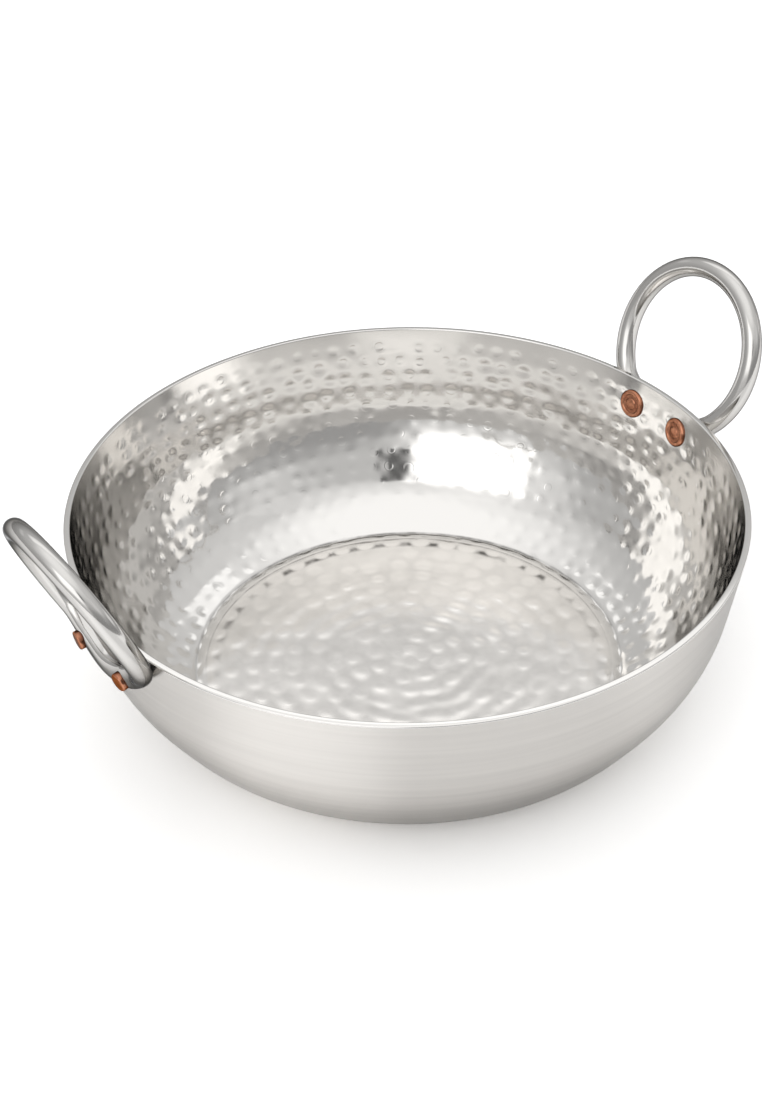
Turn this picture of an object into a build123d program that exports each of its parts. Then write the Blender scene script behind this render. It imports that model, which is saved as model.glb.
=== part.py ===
from build123d import *
import math
import os

# Kadai: a hammered steel pan with two upright rings of rod for handles, riveted on with copper.
# Millimetres. The origin is the centre of the base, +Z is up, and the handles stand on +X and -X.

# Bowl
rim_diameter = 260.0
bowl_height = 79.5
wall_thickness = 2.5
floor_thickness = 2.5
wall_lean = 9.7            # degrees, the upper wall's lean outwards from upright
flank_rise = 55.4          # degrees, the lower wall's rise above the table
flank_inset = 32.1         # from the rim in to where the lower wall's line would meet the table
belly_bend = 63.8          # outer bend radius between the lower and the upper wall
foot_bend = 37.5           # outer bend radius between the base and the lower wall
floor_inset = 12.9         # from there in to the crease round the flat floor
crease_rise = 25.0         # degrees, how steeply the wall leaves the floor
crease_round = 1.2
rim_round = 0.4
foot_room_share = 0.54     # of the lower wall's length, the most that the foot's bend may take
belly_room_share = 0.45    # and the most for the belly's bend

# Ring handles
rod_diameter = 8.0
ring_radius = 33.4         # to the middle of the rod
ring_lean = 23.7           # degrees, how far the ring leans outwards
ring_reach = 10.2          # the ring's centre outside the rim
ring_rise = 16.1           # the ring's centre above the rim
ring_straight = 50.0       # degrees either side of the lowest point where the rod leaves the ring's plane
seat_drop = 14.5           # the middle of the rod at its lowest, below the rim
seat_width = 9.6           # the rod hammered flat where it is riveted
seat_thickness = 7.0
seat_press = 0.3           # how far the wall bites into the flattened rod
entry_flatness = 0.45      # how far the rod is hammered flat where it nears a rivet, 1 being all the way
middle_flatness = 0.7      # and halfway between the rivets
round_power = 2.0          # a circle
seat_power = 3.2           # a squarer oval
section_points = 12

# Copper rivets
rivet_spacing = 27.5       # between the two rivets of one handle
rivet_drop = 11.2          # below the rim
shank_diameter = 5.0
shank_fit = 0.05           # all round the shank in its holes
inner_head_diameter = 11.8
inner_head_height = 1.7
inner_head_bevel = 0.5
head_groove_diameter = 7.8
head_groove_width = 0.7
head_groove_depth = 0.25
head_button_diameter = 4.2
outer_head_diameter = 7.2
outer_head_height = 2.0
outer_head_round = 0.6

rim_radius = rim_diameter / 2
flank_foot_radius = rim_radius - flank_inset
floor_radius = flank_foot_radius - floor_inset
lean = math.radians(wall_lean)
flank = math.radians(flank_rise)
crease = math.radians(crease_rise)
tilt = math.radians(ring_lean)


def meet(point_a, angle_a, point_b, angle_b):
    """The point where two lines cross, each given by a point and its angle above the table."""
    (ax, az), (bx, bz) = point_a, point_b
    slope_a, slope_b = math.tan(angle_a), math.tan(angle_b)
    x = (bz - az + slope_a * ax - slope_b * bx) / (slope_a - slope_b)
    return (x, az + slope_a * (x - ax))


def bend_within(radius, turn, room):
    """A bend's radius, held back where the straight beside it is too short for it."""
    return min(radius, room / math.tan(turn / 2))


def wall_profile():
    """Half the bowl's section: flat base, flank and wall outside, then the same sheet's inside."""
    upright = math.pi / 2 - lean
    rim_outside = (rim_radius, bowl_height)
    rim_inside = (rim_radius - wall_thickness / math.cos(lean), bowl_height)
    foot_outside = (flank_foot_radius, 0)
    foot_inside = (flank_foot_radius - wall_thickness / math.sin(flank), 0)
    belly_outside = meet(rim_outside, upright, foot_outside, flank)
    belly_inside = meet(rim_inside, upright, foot_inside, flank)
    floor_edge = (floor_radius, floor_thickness)
    foot_bend_inside = meet(floor_edge, crease, foot_inside, flank)
    foot_room = math.dist(foot_outside, belly_outside) * foot_room_share
    belly_room = math.dist(foot_outside, belly_outside) * belly_room_share
    foot = bend_within(foot_bend, flank, foot_room)
    belly = bend_within(belly_bend, upright - flank, belly_room)
    foot_room_inside = math.dist(floor_edge, foot_bend_inside) * foot_room_share
    foot_inner = bend_within(foot - wall_thickness, flank - crease, foot_room_inside)
    outline = FilletPolyline(
        (0, 0),
        foot_outside,
        belly_outside,
        rim_outside,
        rim_inside,
        belly_inside,
        foot_bend_inside,
        floor_edge,
        (0, floor_thickness),
        radius=[
            foot,
            belly,
            rim_round,
            rim_round,
            belly - wall_thickness,
            foot_inner,
            crease_round,
        ],
    )
    return make_face([*outline.edges(), Line((0, floor_thickness), (0, 0))])


def bowl_blank():
    """The bowl before it is drilled: its section turned round the middle."""
    return revolve(Plane.XZ * wall_profile(), Axis.Z)


def wall_point(drop, across):
    """The place on the wall's outside at a depth below the rim and a distance across the handle."""
    radius = rim_radius - drop * math.tan(lean)
    turn = math.asin(across / radius)
    return Vector(radius * math.cos(turn), across, bowl_height - drop)


def wall_normal(drop, across):
    """The direction straight out of the wall there."""
    turn = math.asin(across / (rim_radius - drop * math.tan(lean)))
    return Vector(
        math.cos(lean) * math.cos(turn),
        math.cos(lean) * math.sin(turn),
        -math.sin(lean),
    )


def rod_section(place, along, outwards, width, thickness, power):
    """The rod's cross-section: a closed oval, from a circle to a flattened bar as power grows."""
    plane = Plane(origin=place, x_dir=along.cross(outwards), z_dir=along)
    points = []
    for step in range(section_points):
        angle = math.tau * step / section_points
        c, s = math.cos(angle), math.sin(angle)
        x = math.copysign(abs(c) ** (2 / power), c) * width / 2
        y = math.copysign(abs(s) ** (2 / power), s) * thickness / 2
        points.append(plane.from_local_coords(Vector(x, y, 0)))
    return Face(Wire([Spline(points, periodic=True).edge()]))


def ring_point(angle):
    """A point on the ring's circle and its direction there, with the angle taken from the lowest point."""
    up = Vector(math.sin(tilt), 0, math.cos(tilt))
    across = Vector(0, 1, 0)
    centre = Vector(rim_radius + ring_reach, 0, bowl_height + ring_rise)
    place = centre + (across * math.sin(angle) - up * math.cos(angle)) * ring_radius
    return place, across * math.cos(angle) + up * math.sin(angle)


def ring_bow():
    """The open round part of the ring: the rod's section turned about the ring's axis."""
    start = math.radians(ring_straight)
    place, along = ring_point(start)
    square_on = Vector(math.cos(tilt), 0, -math.sin(tilt))
    section = rod_section(
        place, along, square_on, rod_diameter, rod_diameter, round_power
    )
    centre = Vector(rim_radius + ring_reach, 0, bowl_height + ring_rise)
    return revolve(section, Axis(centre, square_on), 360 - 2 * ring_straight)


def half_seat_path():
    """The middle of the rod from where it leaves the ring's plane, past a rivet, to its lowest point."""
    first, first_along = ring_point(-math.radians(ring_straight))
    stand_off = seat_thickness / 2 - seat_press
    rivet, lowest = (
        wall_point(drop, across) + wall_normal(drop, across) * stand_off
        for drop, across in ((rivet_drop, -rivet_spacing / 2), (seat_drop, 0))
    )
    path = Spline([first, rivet, lowest], tangents=[first_along, Vector(0, 1, 0)])
    return path, path.param_at_point(rivet)


def flattened_section(place, along, outwards, flatness):
    """The rod's section hammered part of the way from round to the flat bar at a rivet."""
    return rod_section(
        place,
        along,
        outwards,
        rod_diameter + (seat_width - rod_diameter) * flatness,
        rod_diameter + (seat_thickness - rod_diameter) * flatness,
        round_power + (seat_power - round_power) * flatness,
    )


def ring_seat():
    """The rod's lowest stretch: bent to lie along the wall and hammered flat at the rivets."""
    path, rivet_share = half_seat_path()
    square_on = Vector(math.cos(tilt), 0, -math.sin(tilt))
    hammering = (
        (0, 0),
        (rivet_share / 2, entry_flatness),
        (rivet_share, 1),
        (1, middle_flatness),
    )
    half = []
    for share, flatness in hammering:
        place, along = path @ share, path % share
        on_wall = wall_normal(bowl_height - place.Z, place.Y)
        settled = min(1, share / rivet_share)
        outwards = square_on * (1 - settled) + on_wall * settled
        half.append((place, along, outwards, flatness))
    mirrored = [
        (Vector(p.X, -p.Y, p.Z), Vector(-a.X, a.Y, -a.Z), Vector(o.X, -o.Y, o.Z), f)
        for p, a, o, f in reversed(half[:-1])
    ]
    return loft([flattened_section(*row) for row in half + mirrored])


def ring_blank():
    """The whole ring before it is pressed on the wall and drilled."""
    return ring_bow() + ring_seat()


def rivet_plane(across):
    """Where a rivet crosses the wall's outside, with its axis pointing straight out."""
    return Plane(
        origin=wall_point(rivet_drop, across),
        x_dir=Vector(0, 0, 1).cross(wall_normal(rivet_drop, across)),
        z_dir=wall_normal(rivet_drop, across),
    )


def shank(across, fit):
    """The rivet's shank, or with a fit the hole for it, through wall and rod."""
    start = -wall_thickness - inner_head_height / 2
    length = seat_thickness - seat_press + outer_head_height / 2 - start
    body = Cylinder(shank_diameter / 2 + fit, length)
    return rivet_plane(across) * Pos(0, 0, start + length / 2) * body


def inner_head():
    """The wide flat head inside the bowl, bevelled, with a groove and a button struck in its face."""
    radius, button = inner_head_diameter / 2, head_button_diameter / 2
    groove = head_groove_diameter / 2
    face = -wall_thickness - inner_head_height
    outline = Polyline(
        (0, -wall_thickness + seat_press),
        (radius, -wall_thickness + seat_press),
        (radius, face + inner_head_bevel),
        (radius - inner_head_bevel, face),
        (groove + head_groove_width / 2, face),
        (groove, face + head_groove_depth),
        (button + head_groove_width / 2, face + head_groove_depth),
        (button, face),
        (0, face),
        close=True,
    )
    return revolve(Plane.XZ * make_face(outline), Axis.Z)


def outer_head():
    """The small upset head on the rod's flat."""
    rod_face = seat_thickness - seat_press
    height = outer_head_height + seat_press
    middle = rod_face + outer_head_height - height / 2
    head = Pos(0, 0, middle) * Cylinder(outer_head_diameter / 2, height)
    return fillet(head.edges().group_by(Axis.Z)[-1], outer_head_round)


def rivet(across, wall, rod):
    """One copper rivet: two heads that take the shape of what they bear on, and its shank."""
    heads = rivet_plane(across) * inner_head() + rivet_plane(across) * outer_head()
    return heads - wall - rod + shank(across, 0)


def build():
    """Every piece in its place, by node name."""
    wall, rod = bowl_blank(), ring_blank()
    half_turn = Rot(0, 0, 180)
    bowl, handle = wall, rod - wall
    nodes = {}
    for across, right_end, left_end in ((-1, "front", "back"), (1, "back", "front")):
        place = across * rivet_spacing / 2
        hole = shank(place, shank_fit)
        bowl = bowl - hole - half_turn * hole
        handle = handle - hole
        piece = rivet(place, wall, rod)
        nodes["rivet_right_" + right_end] = piece
        nodes["rivet_left_" + left_end] = half_turn * piece
    nodes["handle_right"] = handle
    nodes["handle_left"] = half_turn * handle
    nodes["bowl"] = bowl
    return nodes


os.makedirs("parts", exist_ok=True)
for name, piece in build().items():
    export_step(piece, f"parts/{name}.step")
    print(name, round(piece.volume), "cubic millimetres")
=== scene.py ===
# %% [markdown]
# This scene dresses a kadai, a deep round pan of hammered steel with two ring handles of bent rod,
# riveted on with copper. The solids of the part give every piece its size and place. Each visible
# surface is then worked out again as a fine mesh, because the hammer marks, the soft bends and the
# bright edges are what the eye reads as hand-worked metal.

# %% Load the part and measure it
import math

import bpy
import numpy as np
from mathutils import Matrix, Vector


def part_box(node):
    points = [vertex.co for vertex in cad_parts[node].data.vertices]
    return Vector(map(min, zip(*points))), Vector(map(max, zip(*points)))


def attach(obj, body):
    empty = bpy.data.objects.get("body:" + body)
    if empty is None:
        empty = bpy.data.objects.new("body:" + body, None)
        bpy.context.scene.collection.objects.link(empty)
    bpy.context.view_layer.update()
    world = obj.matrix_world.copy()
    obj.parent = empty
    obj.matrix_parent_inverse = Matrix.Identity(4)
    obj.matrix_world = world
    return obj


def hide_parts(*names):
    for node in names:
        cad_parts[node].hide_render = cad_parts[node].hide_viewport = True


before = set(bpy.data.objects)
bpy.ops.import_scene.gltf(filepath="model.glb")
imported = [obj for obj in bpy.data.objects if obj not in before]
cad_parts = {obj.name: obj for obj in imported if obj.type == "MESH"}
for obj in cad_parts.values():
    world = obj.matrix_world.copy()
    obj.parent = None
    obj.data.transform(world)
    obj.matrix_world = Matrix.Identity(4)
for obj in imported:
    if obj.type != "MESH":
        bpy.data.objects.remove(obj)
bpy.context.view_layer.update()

print("nodes:", sorted(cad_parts))

# %% [markdown]
# The sizes below are in millimetres, as a tinsmith would read them off the pan. The rim and the
# height come from the solid itself, so the mesh can never grow past it.

# %% Sizes of the pan
mm = 0.001
bowl_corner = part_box("bowl")[1]
rim_radius = bowl_corner.x / mm
bowl_height = bowl_corner.z / mm
wall_thickness = 2.5
floor_thickness = 2.5
wall_lean = math.radians(9.7)      # the upper wall, outwards from upright
flank_rise = math.radians(55.4)    # the lower wall, above the table
flank_inset = 32.1                 # from the rim in to where the lower wall's line meets the table
belly_bend = 63.8
foot_bend = 37.5
floor_inset = 12.9
crease_rise = math.radians(25)
crease_round = 2.5
rim_round = 0.6
print("rim radius", round(rim_radius, 2), "mm, height", round(bowl_height, 2), "mm")

# %% [markdown]
# The pan is a sheet of even thickness, so its section is drawn as a sheet-metal worker would set it
# out: straight lines that meet in corners, each corner bent round with its own radius. The helper
# below walks along such a line and gives points at an even spacing.

# %% Lines with bent corners
def crossing(point_a, angle_a, point_b, angle_b):
    """The point where two lines cross, each given by a point and its angle above the table."""
    (ax, az), (bx, bz) = point_a, point_b
    slope_a, slope_b = math.tan(angle_a), math.tan(angle_b)
    x = (bz - az + slope_a * ax - slope_b * bx) / (slope_a - slope_b)
    return (x, az + slope_a * (x - ax))


def bent_line(corners, bends, step=0.02):
    """Straight stretches joined by arcs. At a corner with turn t and bend radius b, the arc starts
    b times tan(t / 2) before the corner, and its centre lies b to the inner side."""
    points = [np.array(corners[0], float)[None]]
    for before, corner, after, bend in zip(corners, corners[1:], corners[2:], bends):
        corner = np.array(corner, float)
        way_in = corner - before
        way_out = np.array(after, float) - corner
        way_in /= np.hypot(*way_in)
        way_out /= np.hypot(*way_out)
        turn = math.atan2(way_in[0] * way_out[1] - way_in[1] * way_out[0], way_in @ way_out)
        start = corner - way_in * bend * math.tan(abs(turn) / 2)
        side = math.copysign(1, turn)
        to_centre = side * np.array([-way_in[1], way_in[0]])
        angle = np.linspace(0, abs(turn), max(3, int(bend * abs(turn) / step)))[:, None]
        sideways = to_centre * bend * (1 - np.cos(angle))
        points.append(start + sideways + way_in * bend * np.sin(angle))
    points.append(np.array(corners[-1], float)[None])
    return np.concatenate(points)


def walk(line):
    """How far along a line each of its points lies."""
    return np.concatenate([[0], np.cumsum(np.hypot(*np.diff(line, axis=0).T))])


upright = math.pi / 2 - wall_lean
foot_radius = rim_radius - flank_inset
floor_radius = foot_radius - floor_inset
rim_inside = (rim_radius - wall_thickness / math.cos(wall_lean), bowl_height)
rim_outside = (
    rim_inside[0] + wall_thickness * math.cos(wall_lean),
    bowl_height - wall_thickness * math.sin(wall_lean),
)
foot_outside = (foot_radius, 0)
foot_inside = (foot_radius - wall_thickness / math.sin(flank_rise), 0)
floor_edge = (floor_radius, floor_thickness)
belly_outside = crossing(rim_outside, upright, foot_outside, flank_rise)
belly_inside = crossing(rim_inside, upright, foot_inside, flank_rise)
foot_corner = crossing(floor_edge, crease_rise, foot_inside, flank_rise)

inside_line = bent_line(
    [(0, floor_thickness), floor_edge, foot_corner, belly_inside, rim_inside],
    [crease_round, foot_bend - wall_thickness, belly_bend - wall_thickness],
)
outside_line = bent_line(
    [rim_outside, belly_outside, foot_outside, (0, 0)],
    [belly_bend, foot_bend],
)
inside_length = walk(inside_line)[-1]
print("from the middle of the floor up to the rim:", round(inside_length, 1), "mm")

# %% [markdown]
# The hammer leaves two kinds of mark. Up the wall, a round-faced punch leaves small separate dents
# in rows that follow the rim. The floor was hammered from below, so there the marks stand up as low
# bumps, and they run into shallow ripples. All of them are laid out the same way: rows along the
# section, marks round each row, each one shifted, sized and deepened a little by chance, so that no
# two are alike. A fixed seed keeps the same pan every time.

# %% Where the hammer fell
floor_row_pitch = 8.2    # between the rows, out from the middle
wall_row_pitch = 6.7     # and up the wall
smooth_middle = 5.0
smooth_rim = 8.0         # left plain below the rim
wall_dent_pitch = 8.8    # along a row
floor_dent_pitch = 11.0
crease_row_gap = 1.8     # the last floor row lies this far inside the crease
dent_radius = 2.4        # to a dent's crisp edge
lightest_crisp_blow = 0.45
wall_dent_reach = (3.7, 3.1)     # how far a dent's hollow reaches round the row and up the section
floor_dent_reach = (4.6, 3.2)
fewest_in_row = 5
slip_scatter = 0.11      # of a mark's place along its row, as a share of the pitch there
climb_scatter = 0.55     # and across its row, in mm
size_range = (0.86, 1.14)
blow_range = (0.35, 1.0)
crease_blow = 0.75       # the marks beside the crease are struck at least this hard
chance = np.random.default_rng(7)

inside_walk = walk(inside_line)
crease_walk = float(np.interp(floor_radius, inside_line[:, 0], inside_walk))
floor_rows = np.arange(smooth_middle, crease_walk - floor_row_pitch / 2, floor_row_pitch)
floor_rows = np.append(floor_rows, crease_walk - crease_row_gap)
wall_rows = np.arange(
    inside_length - smooth_rim, crease_walk + wall_row_pitch / 2, -wall_row_pitch
)[::-1]
row_walks = np.concatenate([floor_rows, wall_rows])
row_borders = (row_walks[1:] + row_walks[:-1]) / 2
row_radii = np.interp(row_walks, inside_walk, inside_line[:, 0])
row_pitches = np.where(row_walks < crease_walk, floor_dent_pitch, wall_dent_pitch)
dents_in_row = np.round(2 * math.pi * row_radii / row_pitches)
dents_in_row = np.maximum(fewest_in_row, dents_in_row).astype(int)
each_dent = (len(row_walks), dents_in_row.max())
row_turns = chance.random(len(row_walks))
dent_slip = chance.normal(0, slip_scatter, each_dent)
dent_climb = chance.normal(0, climb_scatter, each_dent)
dent_sizes = chance.uniform(*size_range, each_dent)
dent_blows = chance.uniform(*blow_range, each_dent)
crease_rows = np.abs(row_walks - crease_walk + floor_row_pitch / 2) < floor_row_pitch / 2
dent_blows[crease_rows] = crease_blow + (1 - crease_blow) * dent_blows[crease_rows]
on_floor_row = row_walks < crease_walk
reach_around, reach_up = (
    np.where(on_floor_row, floor_dent_reach[k], wall_dent_reach[k]) for k in (0, 1)
)
print("hammer marks:", int(dents_in_row.sum()), "in", len(row_walks), "rows")


def nearest_dent(along, angle):
    """For points on the inside, the offset in mm from the nearest dent's middle (round the row and
    up the section), that dent's size and blow, and how far all the dents near by press in. Each is
    a dish, (1 - q) squared, where q is the square of the offset over its reach, and nothing beyond.
    The rows just below and above are looked at too, and in each row the three dents nearest in
    angle."""
    radius = np.interp(along, inside_walk, inside_line[:, 0])
    best = np.full(len(along), np.inf)
    around, up, size, blow, press = np.zeros((5, len(along)))
    home = np.clip(np.searchsorted(row_borders, along), 1, len(row_walks) - 2)
    for row_step in (-1, 0, 1):
        row = home + row_step
        count = dents_in_row[row]
        place = angle / (2 * math.pi) * count - row_turns[row]
        for dent_step in (-1, 0, 1):
            dent = np.round(place).astype(int) + dent_step
            pick = dent % count
            slip = place - dent - dent_slip[row, pick]
            across = slip / count * 2 * math.pi * radius
            climb = along - row_walks[row] - dent_climb[row, pick]
            apart = np.hypot(across, climb)
            q = (across / reach_around[row]) ** 2 + (climb / reach_up[row]) ** 2
            dish = np.maximum(1 - q / dent_sizes[row, pick] ** 2, 0) ** 2
            press += dent_blows[row, pick] * dish
            nearer = apart < best
            best = np.where(nearer, apart, best)
            around = np.where(nearer, across, around)
            up = np.where(nearer, climb, up)
            size = np.where(nearer, dent_sizes[row, pick], size)
            blow = np.where(nearer, dent_blows[row, pick], blow)
    return around, up, size, blow, press


# %% [markdown]
# Between the dents the sheet isn't true either: hammering leaves it softly uneven over one to two
# centimetres. A sum of a few dozen waves with directions and phases by chance gives that without
# any seam, since it is worked out from the place in space. On the floor the blows followed the
# rings, so there the waves run round and round, each wound into a loose spiral by a whole number of
# turns, and they meet themselves again without a seam.

# %% How deep the marks go
wave_count = 40
wave_lengths = chance.uniform(8, 22, wave_count)
wave_ways = chance.normal(size=(wave_count, 3))
wave_ways /= np.linalg.norm(wave_ways, axis=1)[:, None]
wave_phases = chance.uniform(0, 2 * math.pi, wave_count)
wave_height = 0.004
wall_dent_depth = 0.16
harder_turn = math.radians(145)     # the walls this way and opposite were struck harder
harder_share = 1.1                  # by up to this share of the depth
floor_dent_depth = -0.09            # below zero, so these marks stand up
floor_fade = 4.0                    # the floor's marks end over this length inside the crease
spiral_count = 18
spiral_lengths = chance.uniform(6.4, 9.6, spiral_count)
spiral_winds = chance.integers(-13, 14, spiral_count)
spiral_phases = chance.uniform(0, 2 * math.pi, spiral_count)
spiral_height = 0.0065
wind_room = 3.0                     # a spiral is full this far out for each turn of its winding,
wind_margin = 12.0                  # and this much further
row_ridge_height = 0.016
ridge_start = (8, 25)               # from the middle, where the ridges begin and are full
crease_grooves = ((0.0, 0.16, 0.8), (-4.0, 0.08, 0.7))    # place from the crease, depth, reach
sharpest_turn = math.radians(57)    # the crease is sharpest on this side and fades opposite
faded_crease = 0.2                  # what is left of it there
sharp_from = 0.75                   # it is whole where the cosine of the turn to it is above this
rim_fade = (10, 2)                  # below the rim, where the wall's marks start to fade and end


def unevenness(points):
    """A sum of plane waves of chance length, way and phase, each as high as its length allows."""
    phase = points @ wave_ways.T * 2 * math.pi / wave_lengths + wave_phases
    return (np.sin(phase) * wave_height * wave_lengths / wave_lengths.mean()).sum(axis=1)


def smooth_step(low, high, x):
    """0 below low, 1 above high, and a smooth s between."""
    t = np.clip((x - low) / (high - low), 0, 1)
    return t * t * (3 - 2 * t)


def hammering(along, angle, points):
    """How far the inside is pressed in, in mm: the dents' dishes, which stand up as bumps on the
    floor because the depth there is below zero, on the floor also low spiral waves and a low ridge
    along each row, two fine grooves where the floor was creased, and the soft unevenness."""
    press = nearest_dent(along, angle)[-1]
    on_floor = 1 - smooth_step(crease_walk - floor_fade, crease_walk, along)
    depth = wall_dent_depth + (floor_dent_depth - wall_dent_depth) * on_floor
    near_sharpest = smooth_step(0, sharp_from, np.cos(angle - sharpest_turn))
    sharp = faded_crease + (1 - faded_crease) * near_sharpest
    grooves = sharp * sum(
        deep * np.exp(-(((along - crease_walk - place) / reach) ** 2))
        for place, deep, reach in crease_grooves
    )
    turns = along[:, None] * 2 * math.pi / spiral_lengths + angle[:, None] * spiral_winds
    winds = abs(spiral_winds)
    wide_enough = smooth_step(winds, wind_room * winds + wind_margin, along[:, None])
    ripples = spiral_height * (np.cos(turns + spiral_phases) * wide_enough).sum(axis=1) * on_floor
    ridges = np.cos((along - smooth_middle) * 2 * math.pi / floor_row_pitch)
    ripples = ripples - row_ridge_height * ridges * smooth_step(*ridge_start, along) * on_floor
    harder = 1 + harder_share * np.cos(angle - harder_turn) ** 2 * (1 - on_floor)
    fade_start, fade_end = (inside_length - depth_below for depth_below in rim_fade)
    below_rim = 1 - smooth_step(fade_start, fade_end, along)
    return depth * harder * press * below_rim + ripples + grooves + unevenness(points) * below_rim


# %% [markdown]
# The bowl's mesh is a grid: steps along the section one way, steps round the rim the other. Near
# the middle of the floor the rim's 576 columns would be far too fine, so the count is halved as the
# rings get smaller, and three triangles join one column to two. The pole is closed by a fan.

# %% Rings of points
rim_columns = 576
fewest_columns = 18
halving_radius = 0.47 * rim_radius    # the first halving, just under half the rim's radius


def columns_at(radius):
    """As many columns as the ring needs, halved each time the ring is less than half as wide. The
    very middle has a radius of nothing, so it is counted as a hair wide."""
    halvings = np.ceil(np.log2(np.maximum(halving_radius / np.maximum(radius, 1e-6), 1)))
    return np.maximum(rim_columns / 2 ** halvings, fewest_columns).astype(int)


def join_rings(first, count, next_first, next_count):
    """Faces between two rings of points. Equal rings give quads, and a ring with twice the columns
    gives three triangles to each column. A ring of one point gives a fan."""
    fewer, more = sorted((count, next_count))
    i = np.arange(more if fewer == 1 else fewer)
    if count == next_count:
        j = (i + 1) % count
        return np.stack([first + i, next_first + i, next_first + j, first + j], 1), None
    if count == 1:
        j = (i + 1) % next_count
        return None, np.stack([first + 0 * i, next_first + i, next_first + j], 1)
    if next_count == 1:
        j = (i + 1) % count
        return None, np.stack([first + i, next_first + 0 * i, first + j], 1)
    j = (i + 1) % len(i)
    if next_count > count:
        near, near_next = first + i, first + j
        a, b, c = (next_first + (2 * i + k) % next_count for k in (0, 1, 2))
        faces = [[near, a, b], [near, b, near_next], [near_next, b, c]]
    else:
        far, far_next = next_first + i, next_first + j
        a, b, c = (first + (2 * i + k) % count for k in (0, 1, 2))
        faces = [[a, far, b], [b, far, far_next], [b, far_next, c]]
    return None, np.concatenate([np.stack(face, 1) for face in faces])


def turned_mesh(counts):
    """A section turned round the upright axis: one ring of points for each step of the section, and
    the faces between the rings. Gives the ring number and angle of each point, quads and
    triangles."""
    starts = np.concatenate([[0], np.cumsum(counts)])
    ring = np.repeat(np.arange(len(counts)), counts)
    angle = (np.arange(starts[-1]) - starts[ring]) / counts[ring] * 2 * math.pi
    quads, triangles = [], []
    for k in range(len(counts) - 1):
        four, three = join_rings(starts[k], counts[k], starts[k + 1], counts[k + 1])
        if four is not None:
            quads.append(four)
        if three is not None:
            triangles.append(three)
    none = np.zeros((0, 3), int)
    return ring, angle, np.concatenate(quads), np.concatenate(triangles or [none])


def turned(section, angle):
    """Points of a section, radius and height, each turned to its angle round the upright axis."""
    radius, height = section.T
    return np.stack([radius * np.cos(angle), radius * np.sin(angle), height], 1)


def put_mesh(name, points, quads, triangles):
    """Puts points in millimetres and their faces into a new object at the origin, shaded smooth."""
    mesh = bpy.data.meshes.new(name)
    mesh.from_pydata((points * mm).tolist(), [], quads.tolist() + triangles.tolist())
    mesh.shade_smooth()
    thing = bpy.data.objects.new(name, mesh)
    bpy.context.scene.collection.objects.link(thing)
    return thing


# %% [markdown]
# The steps along the section are about a millimetre on the inside, where the dents are, finer at
# the crease and over the rim, and coarser outside, where the sheet is smooth.

# %% The steps of the section
hair = 0.05                    # a step small enough to measure along a line with
inside_gap, crease_gap, crease_reach = 1.22, 0.4, 4.5
outside_gap, rim_gap, rim_reach = 2.7, 0.8, 1.0
rim_bend = rim_round * 0.9
rim_step = 0.12


def steps(length, coarse, fine_place, fine, reach):
    """Places along a length, at most coarse apart, and fine apart within reach of one place."""
    fence = np.linspace(0, length, int(length / hair) + 1)
    near = np.clip((np.abs(fence - fine_place) - reach) / reach, 0, 1)
    gap = fine + (coarse - fine) * near
    counted = np.concatenate([[0], np.cumsum(np.diff(fence) / gap[1:])])
    return np.interp(np.linspace(0, counted[-1], int(counted[-1]) + 1), counted, fence)


def at(line, places):
    """The points of a line at the given distances along it."""
    along = walk(line)
    return np.stack([np.interp(places, along, line[:, k]) for k in (0, 1)], 1)


def across_line(line, places):
    """The direction square to a line, to its left as one walks along it."""
    ahead = at(line, places + hair) - at(line, places - hair)
    ahead /= np.hypot(*ahead.T)[:, None]
    return np.stack([-ahead[:, 1], ahead[:, 0]], 1)


groove_middle = crease_walk + (crease_grooves[0][0] + crease_grooves[1][0]) / 2
inside_steps = steps(
    inside_length - rim_round, inside_gap, groove_middle, crease_gap, crease_reach
)
rim_line = bent_line(
    [at(inside_line, np.array([inside_length - rim_round]))[0], rim_inside, rim_outside,
     at(outside_line, np.array([rim_round]))[0]],
    [rim_bend, rim_bend], step=rim_step,
)
outside_length = walk(outside_line)[-1]
outside_steps = rim_round + steps(
    outside_length - rim_round, outside_gap, 0, rim_gap, rim_reach
)
print(len(inside_steps), "steps inside,", len(outside_steps), "outside")

# %% The bowl
beyond_marks = 50.0     # the rim and the outside count as this far past the last row of marks
no_edge = 0.05          # the radius given to a mark too light to leave an edge


def bowl_mesh():
    """The whole sheet as one closed skin: up the hammered inside, over the rim and down the smooth
    outside. A point's place is its section point, pressed in square to the section by the
    hammering. The smooth outside needs only half the columns."""
    inside = at(inside_line, inside_steps)
    outside = at(outside_line, outside_steps)
    section = np.concatenate([inside, rim_line[1:-1], outside])
    square = np.concatenate([
        across_line(inside_line, inside_steps),
        np.zeros((len(rim_line) - 2 + len(outside), 2)),
    ])
    along = np.full(len(section), inside_length + beyond_marks)
    along[: len(inside)] = inside_steps
    counts = columns_at(section[:, 0])
    counts[len(inside) + len(rim_line) - 2:] //= 2
    counts[[0, -1]] = 1
    ring, angle, quads, triangles = turned_mesh(counts)
    place = section[ring]
    hammered = hammering(along[ring], angle, turned(place, angle))
    pressed = np.where(ring < len(inside), hammered, 0)
    points = turned(place - square[ring] * pressed[:, None], angle)
    bowl = put_mesh("hammered_bowl", points, quads, triangles)
    first_corners = np.concatenate([quads[:, 0], triangles[:, 0]])
    outside_faces = ring[first_corners] >= len(inside) + len(rim_line) - 3
    bowl.data.polygons.foreach_set("material_index", outside_faces.astype(int))
    corner_points = np.concatenate([quads.ravel(), triangles.ravel()])
    corner_faces = np.concatenate([
        np.repeat(np.arange(len(quads)), 4), len(quads) + np.repeat(np.arange(len(triangles)), 3)
    ])
    write_dent_map(bowl, along[ring], angle, corner_points, corner_faces)
    return bowl


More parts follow.
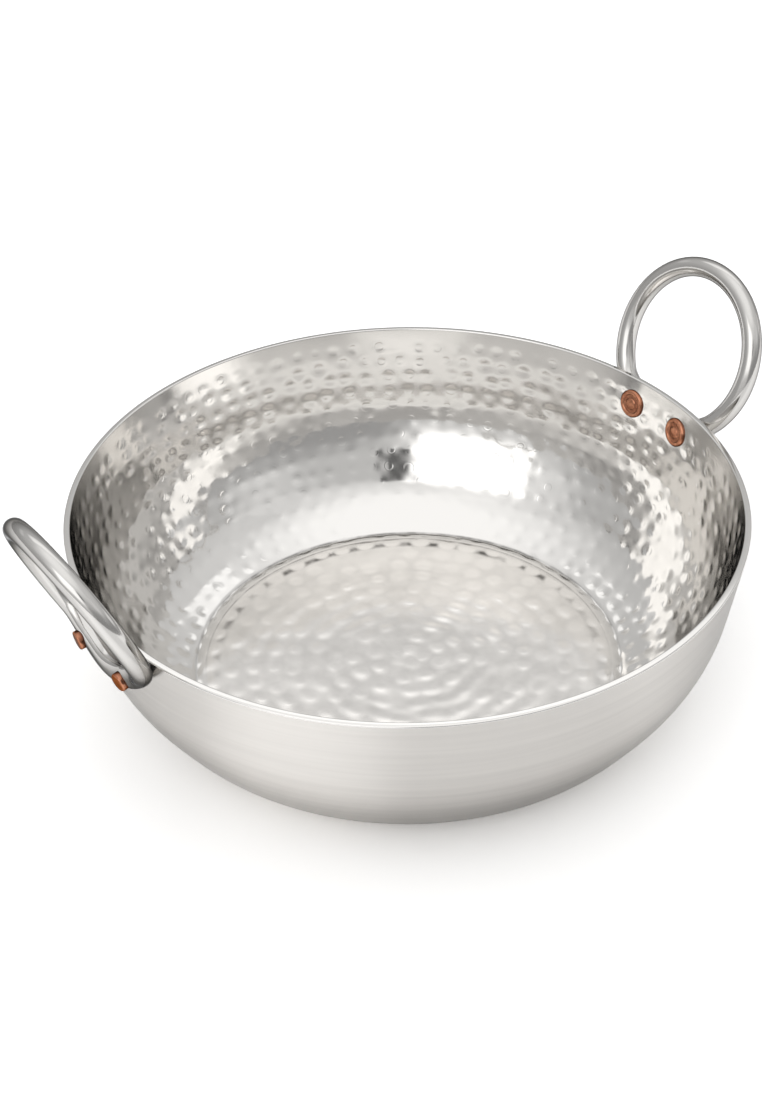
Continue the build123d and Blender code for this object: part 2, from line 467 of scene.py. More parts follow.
def write_dent_map(bowl, along, angle, corner_points, corner_faces):
    """A map from the surface to its hammer marks: at each corner of a face, how far it is from the
    middle of the dent nearest to the face, in dent radii, round the row and up the section. The
    material draws each dent's crisp edge from it. A light blow leaves no edge, so there the radius
    is taken as almost nothing."""
    sizes = np.bincount(corner_faces)
    mean_along = np.bincount(corner_faces, along[corner_points]) / sizes
    mean_angle = np.arctan2(
        np.bincount(corner_faces, np.sin(angle[corner_points])),
        np.bincount(corner_faces, np.cos(angle[corner_points])),
    ) % (2 * math.pi)
    around, up, size, blow, _ = nearest_dent(mean_along, mean_angle)
    turn = (angle[corner_points] - mean_angle[corner_faces] + math.pi) % (2 * math.pi) - math.pi
    radius = np.interp(mean_along, inside_walk, inside_line[:, 0])[corner_faces]
    across = around[corner_faces] + turn * radius
    climb = up[corner_faces] + along[corner_points] - mean_along[corner_faces]
    crisp = blow > lightest_crisp_blow
    reach = (np.where(crisp, dent_radius, no_edge) * size)[corner_faces]
    dent_map = bowl.data.uv_layers.new(name="dents")
    dent_map.data.foreach_set("uv", np.stack([across / reach, climb / reach], 1).ravel())


bowl = bowl_mesh()
bowl_triangles = sum(len(face.vertices) - 2 for face in bowl.data.polygons)
print("bowl:", len(bowl.data.vertices), "points,", bowl_triangles, "triangles")

# %% [markdown]
# The ring handles are bent from round rod. Most of the ring lies in one leaning plane, and its
# lowest stretch is bent to follow the wall and hammered flat where the rivets go through. The rod
# is a closed oval carried along that path: a circle up in the ring, a squarer, wider and thinner
# oval on the seat.

# %% Sizes of the handles
rod_diameter = 7.96                # a hair under the solid's 8, so that it stays inside its box
ring_radius = 33.4
ring_lean = math.radians(23.7)
ring_reach = 10.2
ring_rise = 16.1
seat_drop = 14.5
ring_straight = math.radians(50)
seat_width = 9.6
seat_thickness = 7.0
seat_press = 0.3
rivet_spacing = 27.5
rivet_drop = 11.2
entry_flatness = 0.45
middle_flatness = 0.7
round_power = 2.0                  # the rod's section is a circle,
seat_power = 3.2                   # and a squarer oval where it is flattened
true_rim_radius = 130.0            # the solid's facets make its box a hair narrower
bow_points, seat_points, rod_columns = 150, 24, 40


def wall_place(drop, across):
    """The place on the wall's outside at a depth below the rim and a distance across the handle."""
    radius = true_rim_radius - drop * math.tan(wall_lean)
    return np.array([math.sqrt(radius**2 - across**2), across, bowl_height - drop])


def wall_out(drop, across):
    """The direction straight out of the wall there."""
    turn = math.asin(across / (true_rim_radius - drop * math.tan(wall_lean)))
    flat = math.cos(wall_lean)
    return np.array([flat * math.cos(turn), flat * math.sin(turn), -math.sin(wall_lean)])


# %% The path of the rod
ring_centre = np.array([true_rim_radius + ring_reach, 0, bowl_height + ring_rise])
ring_up = np.array([math.sin(ring_lean), 0, math.cos(ring_lean)])
ring_out = np.array([math.cos(ring_lean), 0, -math.sin(ring_lean)])
ring_across = np.array([0, 1, 0])


def hermite(start, start_way, end, end_way, share):
    """A cubic from start to end that leaves and arrives along the given ways."""
    t = share[:, None]
    return (
        (2 * t**3 - 3 * t**2 + 1) * start + (t**3 - 2 * t**2 + t) * start_way
        + (3 * t**2 - 2 * t**3) * end + (t**3 - t**2) * end_way
    )


def rod_path():
    """The middle of the rod all the way round: the open bow of the ring, then down to one rivet, on
    to the lowest point and up past the other rivet. Gives the points, how flat the rod is hammered
    at each, and how far its flat has turned from the ring's plane to the wall."""
    bow = np.linspace(ring_straight, 2 * math.pi - ring_straight, bow_points)[:, None]
    bow = ring_centre + (ring_across * np.sin(bow) - ring_up * np.cos(bow)) * ring_radius
    leave = bow[-1]
    leave_way = ring_across * math.cos(ring_straight) - ring_up * math.sin(ring_straight)
    stand_off = seat_thickness / 2 - seat_press
    rivet, lowest = (
        wall_place(drop, across) + wall_out(drop, across) * stand_off
        for drop, across in ((rivet_drop, -rivet_spacing / 2), (seat_drop, 0))
    )
    to_rivet, to_lowest = np.linalg.norm(rivet - leave), np.linalg.norm(lowest - rivet)
    rivet_way = (lowest - leave) / (to_rivet + to_lowest)
    share = np.linspace(0, 1, seat_points + 1)[1:]
    first = hermite(leave, leave_way * to_rivet, rivet, rivet_way * to_rivet, share)
    second = hermite(rivet, rivet_way * to_lowest, lowest, ring_across * to_lowest, share)
    half = np.concatenate([first, second])
    other = (half * (1, -1, 1))[-2::-1]
    path = np.concatenate([bow, half, other])
    marks = np.array([0, 0.5, 1, 1.5, 2])
    flatness = np.interp(
        np.concatenate([share, 1 + share]), marks,
        [0, entry_flatness, 1, (1 + middle_flatness) / 2, middle_flatness],
    )
    flat = np.concatenate([0 * bow[:, 0], flatness, flatness[-2::-1]])
    settled = np.concatenate([share, np.ones(len(share))])
    settled = np.concatenate([0 * bow[:, 0], settled, settled[-2::-1]])
    return path, flat, settled


# %% The rod round its path
def rod_mesh(name, side):
    """An oval carried round the closed path. In the oval's own plane a point at angle a lies at
    the signed power 2 / p of cos a and sin a, times half the width and half the thickness."""
    path, flat, settled = rod_path()
    ahead = np.roll(path, -1, 0) - np.roll(path, 1, 0)
    ahead /= np.linalg.norm(ahead, axis=1)[:, None]
    turn = np.arctan2(path[:, 1], path[:, 0])
    flat_out = np.cos(wall_lean)
    on_wall = np.stack(
        [flat_out * np.cos(turn), flat_out * np.sin(turn), 0 * turn - math.sin(wall_lean)], 1
    )
    outwards = ring_out * (1 - settled[:, None]) + on_wall * settled[:, None]
    outwards -= ahead * (outwards * ahead).sum(1)[:, None]
    outwards /= np.linalg.norm(outwards, axis=1)[:, None]
    sideways = np.cross(ahead, outwards)
    angle = np.linspace(0, 2 * math.pi, rod_columns, endpoint=False)
    power = 2 / (round_power + (seat_power - round_power) * flat)[:, None]
    width = (rod_diameter + (seat_width - rod_diameter) * flat)[:, None] / 2
    thickness = (rod_diameter + (seat_thickness - rod_diameter) * flat)[:, None] / 2
    x = np.sign(np.cos(angle)) * np.abs(np.cos(angle)) ** power * width
    y = np.sign(np.sin(angle)) * np.abs(np.sin(angle)) ** power * thickness
    points = path[:, None] + sideways[:, None] * x[..., None] + outwards[:, None] * y[..., None]
    if side == "left":
        points = points * (-1, -1, 1)
    rows, columns = points.shape[:2]
    i, j = np.meshgrid(np.arange(rows), np.arange(columns), indexing="ij")
    i_next, j_next = (i + 1) % rows, (j + 1) % columns
    corners = ((i, j), (i, j_next), (i_next, j_next), (i_next, j))
    quads = np.stack([row * columns + column for row, column in corners], -1)
    return put_mesh(name, points.reshape(-1, 3), quads.reshape(-1, 4), np.zeros((0, 3), int))


rods = {side: rod_mesh("rod_ring_" + side, side) for side in ("right", "left")}
print("rod rings:", [len(rod.data.polygons) for rod in rods.values()], "faces each")

# %% [markdown]
# Each rivet is copper: a wide flat head inside, bevelled at its edge, with a ring and a button
# struck into its face, and a small upset head outside on the rod. It is a section turned about
# the rivet's own axis, which stands square to the wall.

# %% The rivets
inner_head_diameter = 11.8
inner_head_height = 1.7
inner_head_bevel = 0.6
head_groove_diameter = 7.8
head_groove_width = 0.7
head_groove_depth = 0.4
head_button_diameter = 4.2
shank_diameter = 5.0
outer_head_diameter = 7.2
outer_head_height = 2.0
outer_head_round = 0.6
outer_head_sink = 0.6              # how far the outer head reaches into the rod
struck_round, groove_round, hidden_round = 0.2, 0.15, 0.1
section_step = 0.12
rivet_columns = 64


def rivet_section():
    """Half a rivet's section, from the middle of the inner face out over the head, along the shank
    and over the outer head to its middle. Heights are measured outwards from the wall's outside."""
    radius, groove, button = (
        d / 2 for d in (inner_head_diameter, head_groove_diameter, head_button_diameter)
    )
    face = -wall_thickness - inner_head_height
    rod_face = seat_thickness - seat_press
    return bent_line(
        [
            (0, face), (button, face), (button + head_groove_width / 2, face + head_groove_depth),
            (groove, face + head_groove_depth), (groove + head_groove_width / 2, face),
            (radius - inner_head_bevel, face), (radius, face + inner_head_bevel),
            (radius, seat_press - wall_thickness),
            (shank_diameter / 2, seat_press - wall_thickness),
            (shank_diameter / 2, rod_face - outer_head_sink),
            (outer_head_diameter / 2, rod_face - outer_head_sink),
            (outer_head_diameter / 2, rod_face + outer_head_height),
            (0, rod_face + outer_head_height),
        ],
        [
            struck_round, groove_round, groove_round, *[struck_round] * 3,
            *[hidden_round] * 4, outer_head_round,
        ],
        step=section_step,
    )


groove_tarnish = 0.3
groove_clean = 0.1                 # the groove's top stays clean to this depth
inner_side_shade = (0.45, 1.0)      # painted shade below the inner head's face, where it begins and is full
outer_side_shade = (-0.2, 1.2)      # painted shade above the rod, where it is full and where it ends


def tarnish_and_shade_at(radius, height):
    """How dark each point of a rivet is, from 0 to 1: some in the groove, which is tarnished where
    the polishing hardly reaches, and painted shade more and more down the heads' sides towards what
    they sit on."""
    face, rod_face = -wall_thickness - inner_head_height, seat_thickness - seat_press
    in_groove = radius < (head_groove_diameter + head_groove_width) / 2
    deep = smooth_step(face + groove_clean, face + head_groove_depth, height)
    groove = groove_tarnish * deep * in_groove
    inner_side = smooth_step(*(face + depth for depth in inner_side_shade), height)
    outer_side = 1 - smooth_step(*(rod_face + rise for rise in outer_side_shade), height)
    return np.where(height < 0, np.maximum(groove, inner_side), outer_side)


def rivet_mesh(name, across, side):
    """The rivet's section turned about an axis through the wall, square to it, with the groove's
    tarnishing and the painted shade written at each point."""
    section = rivet_section()
    counts = np.full(len(section), rivet_columns)
    counts[[0, -1]] = 1
    ring, angle, quads, triangles = turned_mesh(counts)
    out = wall_out(rivet_drop, across)
    right = np.cross([0, 0, 1], out)
    right /= np.linalg.norm(right)
    up = np.cross(out, right)
    radius, height = section[ring].T
    points = (
        wall_place(rivet_drop, across) + out * height[:, None]
        + (right * np.cos(angle)[:, None] + up * np.sin(angle)[:, None]) * radius[:, None]
    )
    if side == "left":
        points = points * (-1, -1, 1)
    thing = put_mesh(name, points, quads[:, ::-1], triangles[:, ::-1])
    tarnish_and_shade = thing.data.attributes.new("tarnish_and_shade", "FLOAT", "POINT")
    tarnish_and_shade.data.foreach_set("value", tarnish_and_shade_at(radius, height))
    return thing


rivets = {}
for side, front in (("right", -rivet_spacing / 2), ("left", rivet_spacing / 2)):
    for end, across in (("front", front), ("back", -front)):
        node = f"rivet_{side}_{end}"
        rivets[node] = rivet_mesh("copper_" + node, across, side)
print("rivets:", sorted(rivets))

# %% [markdown]
# Three finishes: steel sheet that is hammered and polished inside and brushed outside, polished
# steel rod, and copper. Each starts as a plain metal, coloured from a hex value, and gets its
# grain from textures measured in millimetres.

# %% Nodes and colours
softly = {"interpolation_type": "SMOOTHSTEP"}
colours = {"data_type": "RGBA"}
colour_a, colour_b = 6, 7    # a Mix node's inputs share their names, so they go by place
number_a, number_b = 2, 3


def add_node(tree, kind, settings=None, inputs=None):
    """Adds one shader node of a kind: settings are its own choices, inputs are values, outputs or
    other nodes. A node given as an input stands for the first of its outputs that is in use."""
    node = tree.nodes.new("ShaderNode" + kind)
    for name, value in (settings or {}).items():
        setattr(node, name, value)
    for name, value in (inputs or {}).items():
        if isinstance(value, bpy.types.Node):
            value = next(output for output in value.outputs if output.enabled)
        if isinstance(value, bpy.types.NodeSocket):
            tree.links.new(value, node.inputs[name])
        else:
            node.inputs[name].default_value = value
    return node


def linear(hex_colour):
    """An sRGB hex colour as the linear light that Blender works with."""
    parts = [int(hex_colour[k:k + 2], 16) / 255 for k in (1, 3, 5)]
    return [*(p / 12.92 if p <= 0.04045 else ((p + 0.055) / 1.055) ** 2.4 for p in parts), 1]


def new_material(name, surface):
    """A material whose shader is made by the given function, which is handed the node tree."""
    material = bpy.data.materials.new(name)
    material.use_nodes = True
    tree = material.node_tree
    tree.nodes.clear()
    add_node(tree, "OutputMaterial", inputs={"Surface": surface(tree)})
    return material


def set_stops(ramp, levels):
    """Sets a ramp's stops, all of them grey, from pairs of place and level."""
    stops = ramp.color_ramp.elements
    while len(stops) < len(levels):
        stops.new(0.5)
    for stop, (place, level) in zip(stops, levels):
        stop.position, stop.color = place, (level, level, level, 1)
    return ramp


# %% Numbers of the inside finish
wall_lip = ((0, 0.36), (0.62, 0.40), (0.84, 0.62), (0.97, 0.5), (1, 0.5))   # in dent radii, height
floor_foot = ((0, 0.66), (0.60, 0.64), (0.98, 0.5), (1, 0.5))
lip_height = 0.085             # mm that a height of 1 stands for
lip_wear, lip_wear_patch = (0.38, 0.62), 5     # the lips are crisp in patches this wide in mm
floor_margin = 6               # mm over which the floor's finish gives way to the wall's
wall_haze = 0.10               # roughness
floor_haze = (0.13, 0.17)
streak_range = (0.35, 0.65)
streaks_to_a_radian = 5.0
streak_width = 4               # mm
# painted shade, laid into the colour: a dark line in the two crease grooves, and darker gaps
# between the marks beside the crease and on the floor
groove_shade = ((0.2, 0.8, 0.75), (-3.9, 0.6, 0.5))    # place from the crease, reach, strength
beside_shade = (-8.0, 2.4, 0.8)
beside_gap = (1.2, 2.0)        # in dent radii, where the gap between marks starts and is full
floor_gap, floor_gap_shade = (0.8, 2.0), 0.12
far_side = (-20, 70)           # mm towards the sharpest side, where more painted shade stays, and all of it
least_shade = 0.12
patch_size, patch_range, thinnest_patch = 7, (0.35, 0.6), 0.35


# %% Hammered steel inside
def band(tree, value, middle, reach, strength):
    """Strength at the middle, falling softly to nothing at a reach either side. All in metres."""
    apart = add_node(tree, "Math", {"operation": "SUBTRACT"}, {0: value, 1: middle})
    off = add_node(tree, "Math", {"operation": "ABSOLUTE"}, {0: apart})
    return add_node(tree, "MapRange", softly, {
        "Value": off, "From Min": 0, "From Max": reach, "To Min": strength, "To Max": 0,
    })


def share(tree, first, *rest):
    """A share from 0 to 1, worked out by sums and products one after the other."""
    for operation, value in rest:
        first = add_node(tree, "Math", {"operation": operation, "use_clamp": True}, {
            0: first, 1: value,
        })
    return first


def crisp_edges(tree, reach, place, on_wall):
    """The marks' edges as a bump: a raised lip round each dent on the wall, where the punch pushed
    the metal aside, and a foot round each bump on the floor, worn in places."""
    lip, foot = (
        set_stops(add_node(tree, "ValToRGB", inputs={"Fac": reach}), heights)
        for heights in (wall_lip, floor_foot)
    )
    lip.color_ramp.interpolation = foot.color_ramp.interpolation = "EASE"
    edges = add_node(tree, "Mix", colours, {
        "Factor": on_wall, colour_a: foot, colour_b: lip,
    })
    wear = add_node(tree, "TexNoise", inputs={
        "Vector": place, "Scale": 1 / (lip_wear_patch * mm), "Detail": 2.0,
    })
    left_crisp = add_node(tree, "MapRange", softly, {
        "Value": wear, "From Min": lip_wear[0], "From Max": lip_wear[1],
    })
    return add_node(tree, "Bump", inputs={
        "Height": edges, "Distance": lip_height * mm, "Strength": left_crisp,
    })


def haze(tree, flat, from_middle, on_wall):
    """The roughness: even on the wall, and a little more on the floor, in streaks round it."""
    ahead = add_node(tree, "VectorMath", {"operation": "NORMALIZE"}, {0: flat})
    around = add_node(tree, "VectorMath", {"operation": "SCALE"}, {
        0: ahead, "Scale": streaks_to_a_radian,
    })
    rings = add_node(tree, "Math", {"operation": "DIVIDE"}, {
        0: from_middle, 1: streak_width * mm,
    })
    outwards = add_node(tree, "CombineXYZ", inputs={"Z": rings})
    ring_place = add_node(tree, "VectorMath", {"operation": "ADD"}, {
        0: around, 1: outwards,
    })
    streaks = add_node(tree, "TexNoise", inputs={
        "Vector": ring_place, "Scale": 1.0, "Detail": 2.0,
    })
    on_floor = add_node(tree, "MapRange", inputs={
        "Value": streaks, "From Min": streak_range[0], "From Max": streak_range[1],
        "To Min": floor_haze[0], "To Max": floor_haze[1],
    })
    return add_node(tree, "Mix", inputs={
        "Factor": on_wall, number_a: on_floor, number_b: wall_haze,
    })


def painted_crease_shade(tree, reach, place, flat, from_middle, on_wall):
    """How much painted shade darkens the sheet, from 0 to 1: in the two grooves by the crease,
    between the marks beside it, and a trace between the marks of the floor, all of it patchy."""
    grooves = [
        band(tree, from_middle, (floor_radius + middle) * mm, width * mm, strength)
        for middle, width, strength in groove_shade
    ]
    middle, width, strength = beside_shade
    beside = share(
        tree,
        add_node(tree, "MapRange", softly, {
            "Value": reach, "From Min": beside_gap[0], "From Max": beside_gap[1],
        }),
        ("MULTIPLY", band(tree, from_middle, (floor_radius + middle) * mm, width * mm, strength)),
    )
    towards = add_node(tree, "VectorMath", {"operation": "DOT_PRODUCT"}, {
        0: flat, 1: (math.cos(sharpest_turn), math.sin(sharpest_turn), 0),
    })
    side_share = add_node(tree, "MapRange", softly, {
        "Value": towards, "From Min": far_side[0] * mm, "From Max": far_side[1] * mm,
        "To Min": least_shade,
    })
    shade_noise = add_node(tree, "TexNoise", inputs={
        "Vector": place, "Scale": 1 / (patch_size * mm), "Detail": 3.0,
    })
    patchy = add_node(tree, "MapRange", inputs={
        "Value": shade_noise, "From Min": patch_range[0], "From Max": patch_range[1],
        "To Min": thinnest_patch,
    })
    between = add_node(tree, "MapRange", softly, {
        "Value": reach, "From Min": floor_gap[0], "From Max": floor_gap[1], "To Max": floor_gap_shade,
    })
    on_floor = share(tree, 1.0, ("SUBTRACT", on_wall))
    return share(
        tree, grooves[0], ("ADD", grooves[1]), ("ADD", beside), ("MULTIPLY", side_share),
        ("MULTIPLY", patchy),
        ("ADD", share(tree, between, ("MULTIPLY", patchy), ("MULTIPLY", on_floor))),
    )


def hammered_polished_steel(tree):
    """Stainless sheet, hammered and then polished: nearly a mirror, broken by the dents and their
    crisp edges. The floor is a little hazier, and painted shade darkens the crease grooves and the
    gaps between the marks, most on the far side."""
    dent_map = add_node(tree, "UVMap", {"uv_map": "dents"})
    reach = add_node(tree, "VectorMath", {"operation": "LENGTH"}, {0: dent_map})
    place = add_node(tree, "TexCoord").outputs["Object"]
    flat = add_node(tree, "VectorMath", {"operation": "MULTIPLY"}, {
        0: place, 1: (1, 1, 0),
    })
    from_middle = add_node(tree, "VectorMath", {"operation": "LENGTH"}, {0: flat})
    on_wall = add_node(tree, "MapRange", softly, {
        "Value": from_middle, "From Min": (floor_radius - floor_margin) * mm,
        "From Max": floor_radius * mm,
    })
    clean = add_node(tree, "Mix", colours, {
        "Factor": on_wall, colour_a: linear("#F8F5F1"), colour_b: linear("#E6E4E1"),
    })
    painted_shade = painted_crease_shade(tree, reach, place, flat, from_middle, on_wall)
    # painted shade: the colour is darkened towards #4A4845 in the crease grooves and between the
    # marks
    tone = add_node(tree, "Mix", colours, {
        "Factor": painted_shade, colour_a: clean, colour_b: linear("#4A4845"),
    })
    return add_node(tree, "BsdfPrincipled", inputs={
        "Base Color": tone, "Metallic": 1.0,
        "Roughness": haze(tree, flat, from_middle, on_wall),
        "Specular Tint": linear("#D2D2D2"),
        "Normal": crisp_edges(tree, reach, place, on_wall),
    })


# %% The other finishes
line_gap, line_length = 0.625, 33.3      # mm, the brushed lines and
stripe_gap, stripe_length = 2.38, 83.3   # the broader stripes that they gather into
line_depth = 0.02
rod_wave, rod_wave_height = 9, 0.08
facet_size, facet_depth = 1.6, 0.12
copper_patch = 2.5


def brushed_steel_outside(tree):
    """The same sheet outside, brushed round and round on a wheel: fine level lines about 0.4 mm
    apart, drawn coarser so that they show. They spread a reflection up and down, not sideways."""
    place = add_node(tree, "TexCoord").outputs["Object"]
    lines, stripes = (
        add_node(tree, "TexNoise", inputs={
            "Vector": add_node(tree, "Mapping", inputs={
                "Vector": place,
                "Scale": (1 / (length * mm), 1 / (length * mm), 1 / (gap * mm)),
            }),
            "Scale": 1.0, "Detail": detail, "Roughness": fineness,
        })
        for gap, length, detail, fineness in (
            (line_gap, line_length, 4.0, 0.65), (stripe_gap, stripe_length, 3.0, 0.5),
        )
    )
    grain = add_node(tree, "Bump", inputs={
        "Height": lines, "Distance": line_depth * mm, "Strength": 1.0,
    })
    tone = add_node(tree, "Mix", colours, {
        "Factor": stripes, colour_a: linear("#D7D4D0"), colour_b: linear("#E7E4E0"),
    })
    return add_node(tree, "BsdfPrincipled", inputs={
        "Base Color": tone, "Metallic": 1.0, "Roughness": 0.28,
        "Specular Tint": linear("#C8C8C8"), "Normal": grain,
    })


def polished_rod_steel(tree):
    """Drawn stainless rod, polished: a clear reflection with a trace of softness."""
    place = add_node(tree, "TexCoord").outputs["Object"]
    ripple = add_node(tree, "TexNoise", inputs={
        "Vector": place, "Scale": 1 / (rod_wave * mm), "Detail": 1.0,
    })
    soft = add_node(tree, "Bump", inputs={
        "Height": ripple, "Distance": rod_wave_height * mm, "Strength": 1.0,
    })
    return add_node(tree, "BsdfPrincipled", inputs={
        "Base Color": linear("#D3D1CE"), "Metallic": 1.0, "Roughness": 0.11,
        "Specular Tint": linear("#606060"), "Normal": soft,
    })


def hammered_copper(tree):
    """Copper wire upset into a head: warm, a little dull, with small hammer facets, a brown
    tarnished groove, and painted shade round the head's foot, which gives it its dark outline."""
    place = add_node(tree, "TexCoord").outputs["Object"]
    facets = add_node(tree, "TexVoronoi", inputs={
        "Vector": place, "Scale": 1 / (facet_size * mm),
    })
    blows = add_node(tree, "Bump", inputs={
        "Height": facets, "Distance": facet_depth * mm, "Strength": 0.7,
    })
    patches = add_node(tree, "TexNoise", inputs={
        "Vector": place, "Scale": 1 / (copper_patch * mm), "Detail": 3.0,
    })
    clean = add_node(tree, "Mix", colours, {
        "Factor": patches, colour_a: linear("#93503A"), colour_b: linear("#E2A684"),
    })
    tarnish_and_shade = add_node(tree, "Attribute", {"attribute_name": "tarnish_and_shade"}).outputs["Fac"]
    # the tarnished groove and the painted shade on the heads' sides darken the copper towards
    # #42201A
    tone = add_node(tree, "Mix", colours, {
        "Factor": tarnish_and_shade, colour_a: clean, colour_b: linear("#42201A"),
    })
    return add_node(tree, "BsdfPrincipled", inputs={
        "Base Color": tone, "Metallic": 1.0, "Roughness": 0.24,
        "Specular Tint": linear("#808080"), "Normal": blows,
    })


inside_finish = new_material("hammered polished steel", hammered_polished_steel)
outside_finish = new_material("brushed steel", brushed_steel_outside)
rod_finish = new_material("polished steel rod", polished_rod_steel)
copper_finish = new_material("copper", hammered_copper)

# %% Finishes on the pieces
bowl.data.materials.append(inside_finish)
bowl.data.materials.append(outside_finish)
for rod in rods.values():
    rod.data.materials.append(rod_finish)
for rivet in rivets.values():
    rivet.data.materials.append(copper_finish)
    rivet.visible_glossy = False     # a liberty: real steel would mirror the copper round about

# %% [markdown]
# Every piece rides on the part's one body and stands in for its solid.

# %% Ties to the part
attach(bowl, "root")
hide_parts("bowl")
for side, rod in rods.items():
    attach(rod, "root")
    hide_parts("handle_" + side)
for node, rivet in rivets.items():
    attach(rivet, "root")
    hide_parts(node)

# %% [markdown]
# The camera stands where the photograph was taken from: high in front and to the left, with a
# long lens, turned a little clockwise.

# %% The camera
photo_height = 1108
focal_pixels = 2183
camera_place = (-393.4, -551.4, 557.8)
camera_turn = math.radians(-34.94)
camera_pitch = math.radians(36.61)
camera_roll = 0.0168

camera = bpy.data.objects.new("camera", bpy.data.cameras.new("camera"))
bpy.context.scene.collection.objects.link(camera)
camera.data.sensor_width = 36
camera.data.lens = focal_pixels * camera.data.sensor_width / photo_height
camera.matrix_world = (
    Matrix.Translation(Vector(camera_place) * mm)
    @ Matrix.Rotation(camera_turn, 4, "Z")
    @ Matrix.Rotation(math.pi / 2 - camera_pitch, 4, "X")
    @ Matrix.Rotation(-camera_roll, 4, "Z")
)
bpy.context.scene.camera = camera

# %% [markdown]
# Polished metal shows its studio. Overhead is a big soft white ceiling, lower down the room is
# greyer, and a soft box stands in front to the left. All of it is painted on the world by
# direction, as panels with soft edges, so every reflection comes from a real place in the room.

# %% The studio
def direction(azimuth, elevation):
    """A direction in the room. Azimuth 0 points away from the camera, and 90 to its right."""
    a, e = math.radians(azimuth) - camera_turn, math.radians(elevation)
    return Vector((math.cos(e) * math.sin(a), math.cos(e) * math.cos(a), math.sin(e)))


def soft_panel(tree, way, azimuth, elevation, width, height, edge):
    """How much of a flat panel is seen in a direction: 1 on the panel, 0 off it, with a soft edge.
    Width, height and edge are angles in degrees, and the panel faces the pan."""
    middle = direction(azimuth, elevation)
    sideways = direction(azimuth + 90, 0)
    upwards = sideways.cross(middle)
    ahead, across, up = (
        add_node(tree, "VectorMath", {"operation": "DOT_PRODUCT"}, {0: way, 1: axis})
        for axis in (middle, sideways, upwards)
    )
    seen = add_node(tree, "Math", {"operation": "GREATER_THAN"}, {0: ahead, 1: 0})
    for offset, half in ((across, width / 2), (up, height / 2)):
        slope = add_node(tree, "Math", {"operation": "DIVIDE"}, {0: offset, 1: ahead})
        size = add_node(tree, "Math", {"operation": "ABSOLUTE"}, {0: slope})
        near, far = (math.tan(math.radians(half + k * edge / 2)) for k in (-1, 1))
        on = add_node(tree, "MapRange", softly, {
            "Value": size, "From Min": near, "From Max": far, "To Min": 1, "To Max": 0,
        })
        seen = add_node(tree, "Math", {"operation": "MULTIPLY"}, {0: seen, 1: on})
    return seen


room_light = 1.19
room_levels = (    # by height, the sine of the elevation
    (0, 0.38), (0.17, 0.40), (0.33, 0.44), (0.42, 0.48), (0.52, 0.51), (0.6, 0.53),
    (0.73, 0.6), (0.81, 0.7), (0.87, 0.83), (0.96, 1.0),
)
panels = (    # azimuth, elevation, width, height, soft edge, and the light it adds or takes away
    (-153, 33, 42, 34, 10, 0.74),
    (-150, 20, 60, 40, 20, 0.23),
    (-120, 50, 60, 24, 12, 0.10),
    (180, 56, 120, 26, 12, 0.11),
    (4, 52, 56, 18, 6, 0.47),
    (80, 32, 90, 30, 14, 0.10),
    (76, 12, 22, 10, 5, 0.44),
    (-45, 25, 20, 8, 5, 0.18),
    (177, 37, 9, 14, 4, -0.60),
    (135, 14, 90, 26, 12, -0.12),
)


def studio_world():
    """The room's light by direction: a grey that rises to white overhead, panels added to it, and
    for the camera itself plain white."""
    world = bpy.data.worlds.new("studio")
    bpy.context.scene.world = world
    world.use_nodes = True
    tree = world.node_tree
    tree.nodes.clear()
    way = add_node(tree, "TexCoord").outputs["Generated"]
    height = add_node(tree, "SeparateXYZ", inputs={0: way}).outputs["Z"]
    ramp = set_stops(add_node(tree, "ValToRGB", inputs={"Fac": height}), room_levels)
    light = add_node(tree, "Math", {"operation": "MULTIPLY"}, {0: ramp, 1: room_light})
    for *shape, strength in panels:
        light = add_node(tree, "Math", {"operation": "MULTIPLY_ADD"}, {
            0: soft_panel(tree, way, *shape), 1: strength, 2: light,
        })
    to_camera = add_node(tree, "LightPath").outputs["Is Camera Ray"]
    shown = add_node(tree, "Mix", inputs={
        "Factor": to_camera, number_a: light, number_b: 1.0,
    })
    background = add_node(tree, "Background", inputs={
        "Color": (1, 1, 1, 1), "Strength": shown,
    })
    add_node(tree, "OutputWorld", inputs={"Surface": background})


studio_world()

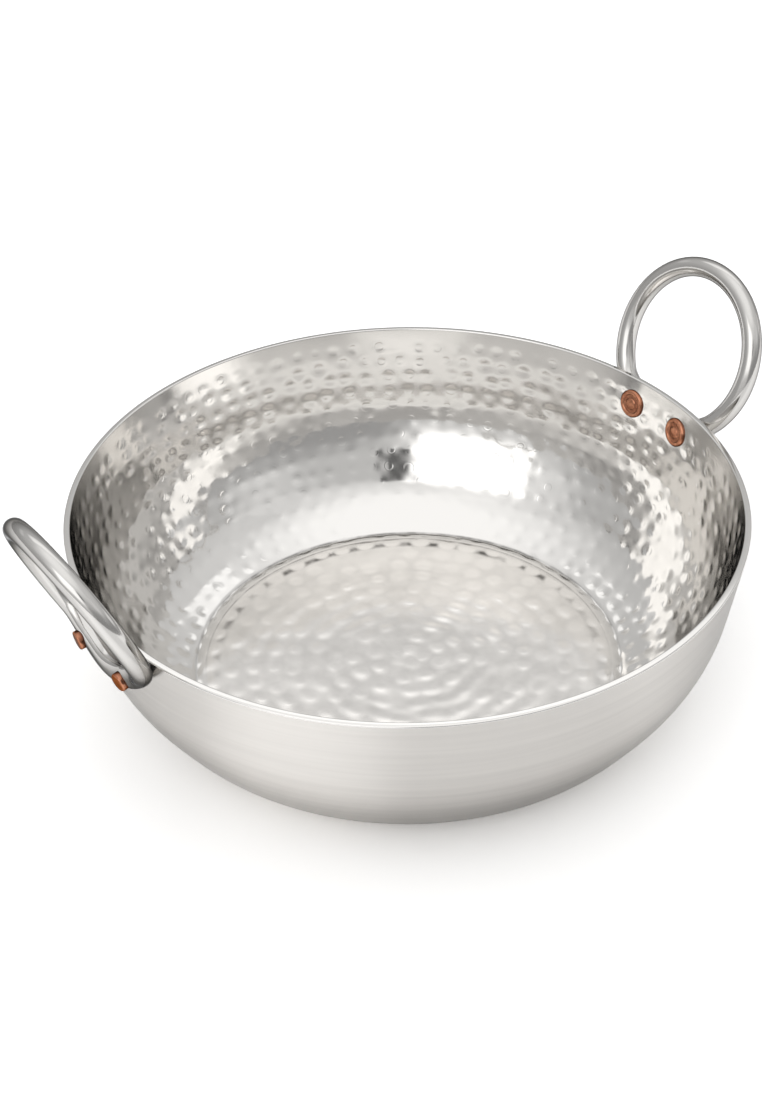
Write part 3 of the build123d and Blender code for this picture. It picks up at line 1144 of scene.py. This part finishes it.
# %% [markdown]
# The floor is a wide sheet of white card. Under this plain light it would come out a pale grey, so
# its colour is taken half as light again for the camera and about a quarter lighter in the metal:
# the open card turns plain white and only the shadow under the pan stays.

# %% The floor
card_seen, card_in_metal, card_itself = 1.39, 1.17, 0.92
# painted light: pools by direction on the card, lighter or duller, seen only in the metal
painted_light_pools = ((-154, 27, 0.26), (165, 50, -0.15), (110, 25, 0.10))   # azimuth, half width, gain
floor_reach = 4000.0


def white_card(tree):
    """Matt card, shown lighter to the camera and in mirrors than it really is. In mirrors it also
    has painted pools of light: lighter in front to the left and on the right, duller between."""
    rays = add_node(tree, "LightPath")
    mirrored = add_node(tree, "Math", {"operation": "MAXIMUM"}, {
        0: rays.outputs["Is Glossy Ray"], 1: rays.outputs["Is Transmission Ray"],
    })
    place = add_node(tree, "TexCoord").outputs["Object"]
    way = add_node(tree, "VectorMath", {"operation": "NORMALIZE"}, {0: place})
    in_mirrors = card_in_metal
    for azimuth, half_width, gain in painted_light_pools:
        towards = add_node(tree, "VectorMath", {"operation": "DOT_PRODUCT"}, {
            0: way, 1: direction(azimuth, 0),
        })
        painted_pool = add_node(tree, "MapRange", softly, {
            "Value": towards, "From Min": math.cos(math.radians(half_width)),
            "To Min": 0, "To Max": gain,
        })
        in_mirrors = add_node(tree, "Math", {"operation": "ADD"}, {
            0: in_mirrors, 1: painted_pool,
        })
    in_metal = add_node(tree, "MapRange", inputs={
        "Value": mirrored, "To Min": card_itself, "To Max": in_mirrors,
    })
    lightness = add_node(tree, "Mix", inputs={
        "Factor": rays.outputs["Is Camera Ray"], number_a: in_metal, number_b: card_seen,
    })
    return add_node(tree, "BsdfDiffuse", inputs={"Color": lightness})


floor = put_mesh(
    "floor",
    np.array([(x, y, 0.0) for x, y in ((-1, -1), (1, -1), (1, 1), (-1, 1))]) * floor_reach,
    np.array([[0, 1, 2, 3]]), np.zeros((0, 3), int),
)
floor.data.materials.append(new_material("white card", white_card))

# %% [markdown]
# Last, the picture is shown with plain colours.

# %% Finish
bpy.context.scene.view_settings.view_transform = "Standard"
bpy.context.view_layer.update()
